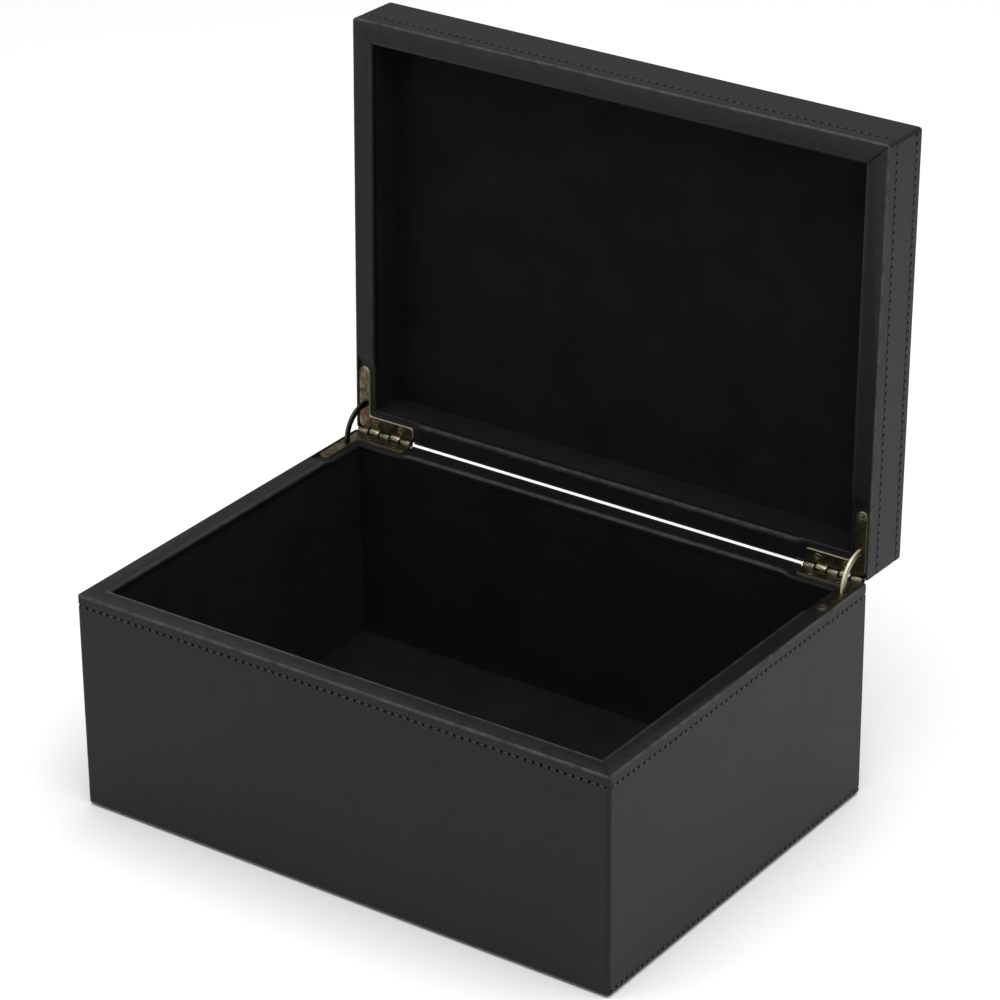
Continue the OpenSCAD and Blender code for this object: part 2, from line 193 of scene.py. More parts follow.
# %% [markdown]
# ## The leather covers
#
# On the real box one long strip of leather goes round the four walls of a tray. It is folded
# over the rim, cut at 45 degrees in the corners, and folded in under the closed face. A solid
# box with painted seams would look flat there. So the model is a skin too, made in the order
# of the leather work: a block whose rim is inset and opened, then rounded, mitred, sunk for
# the hinges and grooved for the stitches. It gets its thickness last.

# %% Open skins
LIP_DROP = 3.6 * MM
LIP_PROUD = 0.12 * MM
TURN_IN = 16 * MM


def cover_blank(name, height, skin):
    """The open skin of a tray: walls, rim, inner lip and turned-in leather, all edges sharp."""
    piece = block(name, (-HALF_W, -HALF_D, skin), (HALF_W, HALF_D, height))
    edit(piece)
    pick(piece, lambda f: f.normal.z > 0.9)
    bpy.ops.mesh.inset(thickness=WALL_T + LIP_PROUD)
    bpy.ops.mesh.extrude_region_move(TRANSFORM_OT_translate={"value": (0, 0, -LIP_DROP)})
    bpy.ops.mesh.delete(type="FACE")
    pick(piece, lambda f: f.normal.z < -0.9)
    bpy.ops.mesh.inset(thickness=TURN_IN)
    bpy.ops.mesh.delete(type="FACE")
    done()
    return piece


for tray, part in TRAYS.items():
    part["cover"] = cover_blank(tray + "_leather", part["height"], part["skin"])
    print(part["cover"].name, len(part["cover"].data.polygons), "faces")

# %% [markdown]
# ### Rounded edges
#
# Leather goes round a board's edge with a small radius, wide at the upright corners and tight
# where the rims meet at the back. Each edge could be bevelled by itself with its own width,
# but then the corners where three meet come out rough. So each gets a weight, and one Bevel
# modifier rounds them all together.

# %% Round the edges
CORNER_R = 2.2 * MM
EDGE_R = 1.4 * MM
BACK_EDGE_R = 0.7 * MM
INNER_R = 1.5 * MM
TINY = 0.1 * MM


def outward(spot):
    """How far a point is outside the four walls. Inside it is negative."""
    return max(abs(spot.x) - HALF_W, abs(spot.y) - HALF_D)


def weigh_edges(piece, test, radius):
    if pick(piece, test, "EDGE"):
        bpy.ops.transform.edge_bevelweight(value=radius / CORNER_R)


def round_cover(piece, height):
    """Rounds every edge but the mitres, each with its own radius."""

    # Along an edge the direction's Z is 1 where it stands upright and 0 where it lies level.
    def upright_corner(edge):
        return abs(along(edge).z) > 0.9 and abs(middle(edge).x) > HALF_W - TINY

    def level(edge):
        return abs(along(edge).z) < 0.1

    def outer(edge):
        return level(edge) and outward(middle(edge)) > -TINY

    def on_rim(edge):
        return level(edge) and middle(edge).z > height - TINY

    def back_rim(edge):
        return on_rim(edge) and middle(edge).y > HALF_D - TINY

    def mitre(edge):
        return abs(along(edge).x * along(edge).y) >= 0.1

    edit(piece)
    weigh_edges(piece, upright_corner, CORNER_R)
    weigh_edges(piece, back_rim, BACK_EDGE_R)
    weigh_edges(piece, lambda e: outer(e) and not back_rim(e), EDGE_R)
    weigh_edges(piece, lambda e: on_rim(e) and not outer(e) and not mitre(e), INNER_R)
    done()
    apply_modifier(
        piece,
        "BEVEL",
        limit_method="WEIGHT",
        width=CORNER_R,
        segments=4,
        use_clamp_overlap=False,
        offset_type="OFFSET",
    )


for part in TRAYS.values():
    round_cover(part["cover"], part["height"])
    print(part["cover"].name, "rounded:", len(part["cover"].data.polygons), "faces")

# %% [markdown]
# ### Mitred corners
#
# At a front corner two strips of the rim are cut at 45 degrees, and the cut shows as a fine
# dark line. Insetting a rectangle left an edge just there. Three cuts side by side and a push
# on the middle one make it a small valley, which catches a real shadow. The corners at the
# back lie under the hinges and stay as they are.

# %% Press the mitres
SEAM_WIDTH = 0.35 * MM
SEAM_DEPTH = 0.35 * MM
SEAM_REACH = 0.8 * MM
HAIR = 0.02 * MM
LOOKS_UP = 0.2


def press_mitres(piece, height):
    """Presses the mitres of the two front corners down."""
    edit(piece)
    # Cut into quarters first, so that the cuts of one mitre stay in its own corner.
    cut(piece, (0, 0, 0), (1, 0, 0))
    cut(piece, (0, 0, 0), (0, 1, 0))
    for sign in (-1, 1):
        corner = Vector((sign * HALF_W, -HALF_D, height))
        across = Vector((sign, 1, 0)).normalized()

        def on_rim(face, sign=sign):
            spot = face.calc_center_median()
            return face.normal.z > LOOKS_UP and spot.x * sign > 0 and spot.y < 0

        def on_mitre(vert, corner=corner, across=across):
            off = vert.co - corner
            return abs(off.dot(across)) < HAIR and off.z > -SEAM_REACH

        for side in (-1, 1, 0):
            cut(piece, corner + across * side * SEAM_WIDTH, across, on_rim)
        if pick(piece, on_mitre, "VERT"):
            bpy.ops.transform.translate(value=(0, 0, -SEAM_DEPTH))
    done()


for part in TRAYS.values():
    press_mitres(part["cover"], part["height"])
print("mitres are", round(SEAM_DEPTH / MM, 2), "mm deep")

# %% [markdown]
# ### A line where the painted highlight ends
#
# The inner edge of the rim is painted with a pale band, partly for the polish of hands and partly
# as a painted highlight, and the band fades out over its next millimetre or two. Further on each
# vertex stores how worn and highlit it is painted, and Blender blends that evenly between
# vertices. So the rim needs a line of them where the band ends.

# %% Cut the highlight line
HIGHLIGHT_W = 1.6 * MM


def cut_polish_line(piece, height):
    edit(piece)
    for sign in (-1, 1):
        for axis, start in ((0, INNER_X), (1, INNER_Y)):

            def on_strip(face, sign=sign, axis=axis, start=start):
                spot = face.calc_center_median()
                near_top = spot.z > height - 2 * SEAM_DEPTH
                return face.normal.z > LOOKS_UP and near_top and spot[axis] * sign > start

            normal = Vector((1 - axis, axis, 0))
            end = start - LIP_PROUD + INNER_R + HIGHLIGHT_W
            cut(piece, normal * sign * end, normal, on_strip)
    done()


for part in TRAYS.values():
    cut_polish_line(part["cover"], part["height"])
print("polish is", round(HIGHLIGHT_W / MM, 2), "mm wide")

# %% [markdown]
# ### The hinge recesses in the rim
#
# The maker sinks the rim where a hinge goes, and the leather follows: level under the leaf,
# then a soft slope back up, with a low lip left along the outer edges. A boolean cut would
# give hard steps. Here the rim is cut into strips and each vertex is lowered by a formula,
# and the numbers come from the outline of the leaf.

# %% Recess sizes
leaf_low, leaf_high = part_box("right_base_leaf")
LEAF_ROOM = 0.5 * MM
RECESS_DEPTH = 1.6 * MM
RAMP = 7 * MM
RAMP_STEPS = 6
FLAT_X = leaf_low.x - LEAF_ROOM
FLAT_Y = leaf_low.y - LEAF_ROOM
LIP_X = leaf_high.x + LEAF_ROOM
LIP_SLOPE = 0.35 * MM
BACK_LIP_Y = HALF_D - 1.6 * MM
RIM_SLACK = 0.5 * MM
print("recess is flat from x =", round(FLAT_X, 4), "and from y =", round(FLAT_Y, 4))


# %% How deep the rim is sunk
def soft_step(t):
    t = min(max(t, 0), 1)
    return t * t * (3 - 2 * t)


def recess_drop(x, y):
    """How far the rim is sunk at a point, from nothing to the full depth."""
    x = abs(x)
    on_back = y > HALF_D - WALL_T - RIM_SLACK
    on_side = x > HALF_W - WALL_T - RIM_SLACK
    back = soft_step((x - FLAT_X + RAMP) / RAMP) if on_back else 0
    side = soft_step((y - FLAT_Y + RAMP) / RAMP) if on_side else 0
    side_lip = min(max((LIP_X + LIP_SLOPE - x) / LIP_SLOPE, 0), 1)
    outside = min(max((BACK_LIP_Y + LIP_SLOPE - y) / LIP_SLOPE, 0), 1)
    back_lip = 1 if x > FLAT_X else outside
    return RECESS_DEPTH * max(back, side) * side_lip * back_lip


LEAF_CORNER = (leaf_low.x, HALF_D - WALL_T / 2)
print("sunk under the leaf by", round(recess_drop(*LEAF_CORNER) / MM, 2), "mm")


# %% Sink the recesses
def sink_recesses(piece, height):
    """Cuts lines across the rim at the hinge recesses, then sinks the rim between them."""

    def back_rim(face):
        spot = face.calc_center_median()
        return spot.z > height - LIP_DROP - TINY and spot.y > 0

    edit(piece)
    for step in range(RAMP_STEPS + 1):
        down = RAMP * step / RAMP_STEPS
        cut(piece, (0, FLAT_Y - down, 0), (0, 1, 0), back_rim)
        for sign in (-1, 1):
            cut(piece, (sign * (FLAT_X - down), 0, 0), (1, 0, 0), back_rim)
    for sign in (-1, 1):
        for x in (LIP_X, LIP_X + LIP_SLOPE, FLAT_X + LIP_SLOPE):
            cut(piece, (sign * x, 0, 0), (1, 0, 0), back_rim)
    for y in (BACK_LIP_Y, BACK_LIP_Y + LIP_SLOPE):
        cut(piece, (0, y, 0), (0, 1, 0), back_rim)
    shape = bmesh.from_edit_mesh(piece.data)
    for vert in shape.verts:
        if height - vert.co.z < LIP_DROP - TINY and vert.co.y > 0:
            vert.co.z -= recess_drop(vert.co.x, vert.co.y)
    bmesh.update_edit_mesh(piece.data)
    done()


for part in TRAYS.values():
    sink_recesses(part["cover"], part["height"])
print("recesses are", round(RECESS_DEPTH / MM, 2), "mm deep")

# %% [markdown]
# ### Grooves for the stitches
#
# Tight thread draws the leather in. A row runs round each tray near its rim, and a second one
# near the other edge round the sides and the back. The front has only the one at the rim.
# Three level cuts round the walls and a small push on the middle one make each groove, and
# round the corners, where there is no stitch, it is a little deeper.

# %% Press the grooves
GROOVE_WIDTH = 1.2 * MM
GROOVE_DEPTH = 0.1 * MM
DIMPLE_DEPTH = 0.3 * MM
TRAYS["base"]["rows"] = (BASE_H - 6 * MM, BASE_SKIN + 3 * MM)
TRAYS["lid"]["rows"] = (LID_H - 8 * MM, LID_SKIN + 5.8 * MM)


def press_groove(piece, z, front_too):
    """Draws the leather in along a row of stitches, all the way round or but for the front."""

    def on_wall(face):
        upright = abs(face.normal.z) < 0.3
        return upright and outward(face.calc_center_median()) > -CORNER_R

    def sewn(vert):
        return outward(vert.co) > -CORNER_R and (front_too or vert.co.y > CORNER_R - HALF_D)

    def in_corner(vert):
        return abs(vert.co.x) > HALF_W - CORNER_R and abs(vert.co.y) > HALF_D - CORNER_R

    edit(piece)
    for offset in (-GROOVE_WIDTH, 0, GROOVE_WIDTH):
        cut(piece, (0, 0, z + offset), (0, 0, 1), on_wall)
    if pick(piece, lambda v: abs(v.co.z - z) < HAIR and sewn(v), "VERT"):
        bpy.ops.transform.shrink_fatten(value=-GROOVE_DEPTH)
    if pick(piece, lambda v: abs(v.co.z - z) < TINY and sewn(v) and in_corner(v), "VERT"):
        bpy.ops.transform.shrink_fatten(value=-DIMPLE_DEPTH)
    done()


for part in TRAYS.values():
    for z in part["rows"]:
        press_groove(part["cover"], z, z == part["rows"][0])
    print(part["cover"].name, "grooved at", [round(z / MM, 1) for z in part["rows"]], "mm")

# %% [markdown]
# ### Thickness, and room for the hinges
#
# The leather is cut away where a hinge barrel turns, and slit under each leaf for the arm.
# Both are true cuts with a sharp edge, so a Boolean modifier with a cutter fits here. It needs
# a closed solid, so the skin gets its thickness first.

# %% Cut the leather for the hinges
SKIN_T = 0.8 * MM
BARREL_ROOM_R = 2.15 * MM
BARREL_SPARE = 1.7 * MM
ARM_ROOM = 0.3 * MM
SLOT_FAR = 17.6 * MM
SLOT_NEAR = 12.1 * MM
SLOT_DEPTH = 6 * MM
SLOT_ABOVE = 1 * MM
arm_low, arm_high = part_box("right_quadrant_arm")


def carve(piece, cutter):
    apply_modifier(piece, "BOOLEAN", operation="DIFFERENCE", solver="MANIFOLD", object=cutter)
    bpy.data.objects.remove(cutter)


def barrel_cutter(sign, height):
    """A rod as thick as a hinge barrel and its clearance, where the barrel turns."""
    bpy.ops.object.select_all(action="DESELECT")
    bpy.ops.mesh.primitive_cylinder_add(
        vertices=48,
        radius=BARREL_ROOM_R,
        depth=leaf_high.x - leaf_low.x + BARREL_SPARE,
        location=(sign * (leaf_low.x + leaf_high.x) / 2, HINGE.y, height + CLOSED_GAP / 2),
        rotation=(0, math.pi / 2, 0),
    )
    bpy.ops.object.transform_apply(location=True, rotation=True, scale=True)
    return bpy.context.active_object


def slot_cutter(sign, height):
    """A slot through the leather under a leaf, for the arm."""
    mid_x = (arm_low.x + arm_high.x) / 2
    half = (arm_high.x - arm_low.x) / 2 + ARM_ROOM
    low = (sign * mid_x - half, HINGE.y - SLOT_FAR, height - SLOT_DEPTH)
    high = (sign * mid_x + half, HINGE.y - SLOT_NEAR, height + SLOT_ABOVE)
    return block("slot_cutter", low, high)


for part in TRAYS.values():
    apply_modifier(part["cover"], "SOLIDIFY", thickness=SKIN_T, offset=-1)
    for sign in (-1, 1):
        carve(part["cover"], barrel_cutter(sign, part["height"]))
        carve(part["cover"], slot_cutter(sign, part["height"]))
    print(part["cover"].name, "cut:", len(part["cover"].data.polygons), "faces")

# %% [markdown]
# ### Wear, painted highlight and stitch map
#
# The finish has to know where edges are rubbed and painted with a highlight, and where needles
# went in. A picture could be painted for that, but two small stores on the mesh do it with no
# picture: an attribute that says how worn and how highlit each vertex is painted, and a UV map
# that counts the stitches along each wall.

# %% Mark the wear
# Leather is rubbed, and the painted highlight lies, only on the outermost part of a rounded edge,
# so the band is made narrower.
EDGE_GAIN = 3
EDGE_START = 0.15
# How pale the rim's inner edge is painted on each strip: partly wear, partly a painted highlight
# where the strip catches the light.
TRAYS["base"]["polish"] = {"front": 1, "side": 0.4, "back": 1}
TRAYS["lid"]["polish"] = {"front": 0.1, "side": 0.2, "back": 1}


def mark_wear_and_highlight(piece, height, skin, polish):
    """Stores how worn and how highlit each vertex is painted, round the outer edges and on the
    rim's inner edge.
    """
    wear_and_highlight = piece.data.attributes.new("wear_and_highlight", "FLOAT", "POINT")
    for vert in piece.data.vertices:
        z = vert.co.z
        sideways = outward(vert.co) + EDGE_R
        upright = max(z - height, skin - z) + EDGE_R
        outer = min(sideways, upright) / EDGE_R
        # The band of painted highlight starts at the inner edge and has faded out after its set
        # width.
        past_side, past_end = INNER_X - abs(vert.co.x), INNER_Y - abs(vert.co.y)
        strip = "side" if past_side < past_end else "front" if vert.co.y < 0 else "back"
        inside = (INNER_R + HIGHLIGHT_W - LIP_PROUD + min(past_side, past_end)) / HIGHLIGHT_W
        inner = polish[strip] * min(inside, (z - height + INNER_R) / INNER_R, 1)
        wear_and_highlight.data[vert.index].value = min(max(outer * EDGE_GAIN - EDGE_START, inner, 0), 1)


for part in TRAYS.values():
    mark_wear_and_highlight(part["cover"], part["height"], part["skin"], part["polish"])
    print(part["cover"].name, "stores wear on", len(part["cover"].data.vertices), "vertices")

# %% Map the stitches
PITCH = 4.6 * MM
STITCH_MARGIN = 4.5 * MM
MAP_END = 2


def stitch_run(half_length):
    """How long the row on one side is, how many stitches it takes and how far apart they are."""
    run = 2 * (half_length - STITCH_MARGIN)
    count = int(run / PITCH) + 1
    return run, count, run / (count - 1)


def map_stitches(piece, rows):
    """Stores a UV map on the walls: U counts the stitches, V is how many mm away the row is."""
    layer = piece.data.uv_layers.new(name="stitch_run")
    for face in piece.data.polygons:
        along_x = abs(face.normal.y) > abs(face.normal.x)
        in_corner = min(abs(face.normal.x), abs(face.normal.y)) > 0.2
        sewn = rows[:1] if face.normal.y < -0.9 else rows
        run, _, step = stitch_run(HALF_W if along_x else HALF_D)
        for corner in face.loop_indices:
            spot = piece.data.vertices[piece.data.loops[corner].vertex_index].co
            away = min(abs(spot.z - z) for z in sewn) / MM
            count = ((spot.x if along_x else spot.y) + run / 2) / step
            layer.data[corner].uv = (count, MAP_END if in_corner else min(away, MAP_END))


for part in TRAYS.values():
    map_stitches(part["cover"], part["rows"])
print("stitches on a long and a short side:", stitch_run(HALF_W)[1], stitch_run(HALF_D)[1])

# %% [markdown]
# ### Smooth shading
#
# Rounded edges shade smoothly and true corners stay sharp. Weighted normals then let the big
# flat walls decide, so that they look as flat as leather glued to board.

# %% Finish the covers
for part in TRAYS.values():
    smooth(part["cover"], 40)
    apply_modifier(part["cover"], "WEIGHTED_NORMAL", keep_sharp=True, weight=80)
base_leather, lid_leather = TRAYS["base"]["cover"], TRAYS["lid"]["cover"]
lid_leather.data.transform(LID_PLACE)
print("finished", base_leather.name, "and", lid_leather.name)

# %% [markdown]
# ## The sheet on the lid and the pad under the base
#
# Both are flat sheets glued over the folded-in leather. Their edges are soft, so each is a
# block whose upright edges and then whose outer rims are rounded.

# %% Make both sheets
PAD_EDGE_R = 0.3 * MM
SHEET_INSET = 1.6 * MM
SHEET_EDGE_R = 0.6 * MM


def sheet(name, inset, thickness, radius):
    x, y = HALF_W - inset, HALF_D - inset
    piece = block(name, (-x, -y, 0), (x, y, thickness))
    edit(piece)
    pick(piece, lambda e: abs(along(e).z) > 0.9, "EDGE")
    bpy.ops.mesh.bevel(offset=CORNER_R, segments=5, affect="EDGES")
    pick(piece, lambda e: middle(e).z < HAIR and len(e.link_faces) == 2, "EDGE")
    bpy.ops.mesh.bevel(offset=radius, segments=3, affect="EDGES")
    done()
    smooth(piece)
    apply_modifier(piece, "WEIGHTED_NORMAL", keep_sharp=True, weight=80)
    return piece


bottom_pad = sheet("bottom_pad", pad_low.x + HALF_W, BASE_SKIN, PAD_EDGE_R)
top_sheet = sheet("top_sheet", SHEET_INSET, LID_SKIN, SHEET_EDGE_R)
top_sheet.data.transform(LID_PLACE)
print("sheets", bottom_pad.name, top_sheet.name)

# %% [markdown]
# ## The suede lining
#
# Each wall and the floor has its own panel of card wrapped in suede and glued in. A panel is
# a thin block with rounded edges. It is divided into a grid and swollen by a fraction of a
# millimetre with a soft cloud pattern, because glued suede is never quite flat.

# %% One panel
PANEL_EDGE = 0.45 * MM
CELL = 6 * MM
SWELL = 0.25 * MM
clouds = bpy.data.textures.new("uneven_glue", "CLOUDS")
clouds.noise_scale = 45 * MM
clouds.noise_depth = 2


def panel(name, low, high, face):
    """A suede panel. face is the axis, with its sign, that its shown side looks along."""
    piece = block(name, low, high)
    size = Vector(high) - Vector(low)
    edit(piece)
    bpy.ops.mesh.select_all(action="SELECT")
    bpy.ops.mesh.bevel(offset=PANEL_EDGE, segments=3, affect="EDGES")
    for axis in range(3):
        if size[axis] < 5 * CELL:
            continue
        normal = Vector((0, 0, 0))
        normal[axis] = 1
        steps = int(size[axis] / CELL)
        for step in range(1, steps):
            point = Vector(low)
            point[axis] += size[axis] * step / steps
            cut(piece, point, normal)
    done()
    group = piece.vertex_groups.new(name="shown")
    front = max(v.co.dot(face) for v in piece.data.vertices)
    shown = [v.index for v in piece.data.vertices if v.co.dot(face) > front - HAIR]
    group.add(shown, 1, "REPLACE")
    apply_modifier(
        piece,
        "DISPLACE",
        texture=clouds,
        texture_coords="GLOBAL",
        strength=SWELL,
        mid_level=1,
        vertex_group="shown",
    )
    smooth(piece)
    return piece


print("panels swell by up to", round(SWELL / MM, 2), "mm")

# %% Line both trays
TUCK = 0.2 * MM
LEATHER_T = 1.2 * MM
LID_BOARD_T = 7 * MM
base_floor_low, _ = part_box("base_floor_lining")


def line_tray(tray, height, floor, minus_x, plus_x):
    """Five panels, up to just behind the leather lip. The last two names say which side of the
    finished tray lies at -X and at +X, because turning the lid over swaps them."""
    x, y, t = INNER_X, INNER_Y, LINING_T
    top = height - LIP_DROP + TUCK
    over = floor + t
    places = {
        "floor": ((-x - t, -y - t, floor), (x + t, y + t, over), (0, 0, 1)),
        "front": ((-x - t, -y - t, over), (x + t, -y, top), (0, 1, 0)),
        "back": ((-x - t, y, over), (x + t, y + t, top), (0, -1, 0)),
        minus_x: ((-x - t, -y, over), (-x, y, top), (1, 0, 0)),
        plus_x: ((x, -y, over), (x + t, y, top), (-1, 0, 0)),
    }
    return {
        side: panel(tray + "_" + side + "_suede", low, high, Vector(face))
        for side, (low, high, face) in places.items()
    }


base_lining = line_tray("base", BASE_H, base_floor_low.z, "left", "right")
lid_lining = line_tray("lid", LID_H, LID_SKIN + LEATHER_T + LID_BOARD_T, "right", "left")
for piece in lid_lining.values():
    piece.data.transform(LID_PLACE)
print("lined with", len(base_lining) + len(lid_lining), "panels")

# %% [markdown]
# ## The stitches
#
# Each stitch is a short grain of black thread that dips into the leather at both ends. The
# rows could be a bump in the leather, but up close thread stands proud and casts a shadow. So
# one grain is modelled, and an array repeats it along a side.

# %% One stitch
STITCH_LENGTH = 3.0 * MM
THREAD_R = 0.42 * MM
STITCH_TILT = math.radians(4)


def one_stitch(place, turn):
    """A grain of thread at a place, its length turned from X by an angle about Z."""
    bpy.ops.object.select_all(action="DESELECT")
    bpy.ops.mesh.primitive_uv_sphere_add(
        segments=8, ring_count=6, radius=1, rotation=(0, math.pi / 2, 0)
    )
    piece = bpy.context.active_object
    bpy.ops.object.transform_apply(location=True, rotation=True, scale=True)
    # The two rings between the middle and the poles are widened, so that the grain is blunt.
    edit(piece)
    pick(piece, lambda v: 0.4 < abs(v.co.x) < 0.7, "VERT")
    bpy.ops.transform.resize(value=(1.35, 1.1, 1.1))
    done()
    piece.scale = (STITCH_LENGTH / 2, THREAD_R, THREAD_R)
    piece.rotation_euler = (0, STITCH_TILT, turn)
    piece.location = place
    bpy.ops.object.transform_apply(location=True, rotation=True, scale=True)
    smooth(piece, 60)
    return piece


print("a stitch is", round(STITCH_LENGTH / MM, 1), "mm long")

# %% Sew the rows
SINK = 0.15 * MM
FRONT, RIGHT, BACK, LEFT = range(4)


def sew_side(half_length, offset, z, side):
    """A row along one side, made at the front and turned to its place by quarter turns."""
    run, count, step = stitch_run(half_length)
    turn = side * math.pi / 2
    spot = Matrix.Rotation(turn, 4, "Z") @ Vector((-run / 2, -offset, z))
    piece = one_stitch(spot, turn)
    direction = Matrix.Rotation(turn, 4, "Z") @ Vector((step, 0, 0))
    apply_modifier(
        piece,
        "ARRAY",
        count=count,
        use_relative_offset=False,
        use_constant_offset=True,
        constant_offset_displace=direction,
    )
    return piece


def sew(name, rim_row, second_row):
    """Both rows of a tray, joined to one piece. The second row leaves out the front."""
    rows = [(rim_row, side) for side in (FRONT, RIGHT, BACK, LEFT)]
    rows += [(second_row, side) for side in (RIGHT, BACK, LEFT)]
    sides = []
    for z, side in rows:
        half, offset = (HALF_W, HALF_D) if side in (FRONT, BACK) else (HALF_D, HALF_W)
        sides.append(sew_side(half, offset - SINK, z, side))
    bpy.ops.object.select_all(action="DESELECT")
    for piece in sides:
        piece.select_set(True)
    bpy.context.view_layer.objects.active = sides[0]
    bpy.ops.object.join()
    sides[0].name = sides[0].data.name = name
    return sides[0]


base_stitches = sew("base_stitches", *TRAYS["base"]["rows"])
lid_stitches = sew("lid_stitches", *TRAYS["lid"]["rows"])
lid_stitches.data.transform(LID_PLACE)
print("stitches:", len(base_stitches.data.polygons), len(lid_stitches.data.polygons), "faces")

# %% [markdown]
# ## Materials
#
# Five things show on the box: grained leather, suede, antique brass, waxed thread and, inside
# the slots, fibreboard. One function turns the colours, given as on a screen, into Blender's
# linear values, and one adds a node with its settings and links.


# %% Colour and node helpers
def linear(hex_colour):
    parts = [int(hex_colour[i : i + 2], 16) / 255 for i in (1, 3, 5)]
    return [c / 12.92 if c <= 0.04045 else ((c + 0.055) / 1.055) ** 2.4 for c in parts] + [1]


def add(tree, kind, inputs=None, stops=(), **settings):
    """Adds a node. An input is a number, an output of another node, or a node, which stands
    for its first output. stops are the places and colours of a colour ramp."""
    node = tree.nodes.new(kind)
    for key, value in settings.items():
        setattr(node, key, value)
    for key, value in (inputs or {}).items():
        source = value.outputs[0] if isinstance(value, bpy.types.Node) else value
        if isinstance(source, bpy.types.NodeSocket):
            tree.links.new(source, node.inputs[key])
        else:
            node.inputs[key].default_value = source
    for index, (position, colour) in enumerate(stops):
        node.color_ramp.elements[index].position = position
        node.color_ramp.elements[index].color = linear(colour)
    return node


def new_material(name):
    """An empty material, its node tree, and the place of a point on the piece, in metres."""
    material = bpy.data.materials.new(name)
    material.use_nodes = True
    tree = material.node_tree
    tree.nodes.clear()
    place = add(tree, "ShaderNodeTexCoord").outputs["Object"]
    return material, tree, place


print("a middle grey is", round(linear("#808080")[0], 3), "in linear light")

# %% [markdown]
# ### Grained leather
# Split leather with a thin black polyurethane coat, embossed with a fine pebble grain. To the
# eye it is a very dark grey with a broad, soft gloss. The pebbles are about 1 mm across, and
# slow clouds in the gloss stand for handling. Edges are painted paler, after the attribute that
# each cover carries: partly wear and partly a painted highlight along the rims. Needle holes
# follow the map along the stitches and are painted near black, as painted shade inside them. A
# deep hole sends back no gloss, and black metal is the shader's nearest match to that, so the
# holes also get black metal as painted shade.

# %% Needle holes
HOLE_RIM = 1.2
HOLE_FLOOR = 0.6


def needle_holes(tree):
    """1 in each hole between two stitches, 0 elsewhere, from the map that the walls carry."""
    seam = add(tree, "ShaderNodeUVMap", uv_map="stitch_run")
    split = add(tree, "ShaderNodeSeparateXYZ", {"Vector": seam})
    part = add(tree, "ShaderNodeMath", {0: split.outputs["X"]}, operation="FRACT")
    pitch = PITCH / MM
    beside = add(
        tree, "ShaderNodeMath", {0: part, 1: pitch, 2: -pitch / 2}, operation="MULTIPLY_ADD"
    )
    spot = add(tree, "ShaderNodeCombineXYZ", {"X": beside, "Y": split.outputs["Y"]})
    far = add(tree, "ShaderNodeVectorMath", {0: spot}, operation="LENGTH").outputs["Value"]
    return add(
        tree, "ShaderNodeMapRange", {"Value": far, "From Min": HOLE_RIM, "From Max": HOLE_FLOOR}
    )


print("needle holes are", 2 * HOLE_RIM, "mm wide at their rim")

# %% Grained leather
PEBBLE = 1.0 * MM
DRIFT = 0.9 * MM


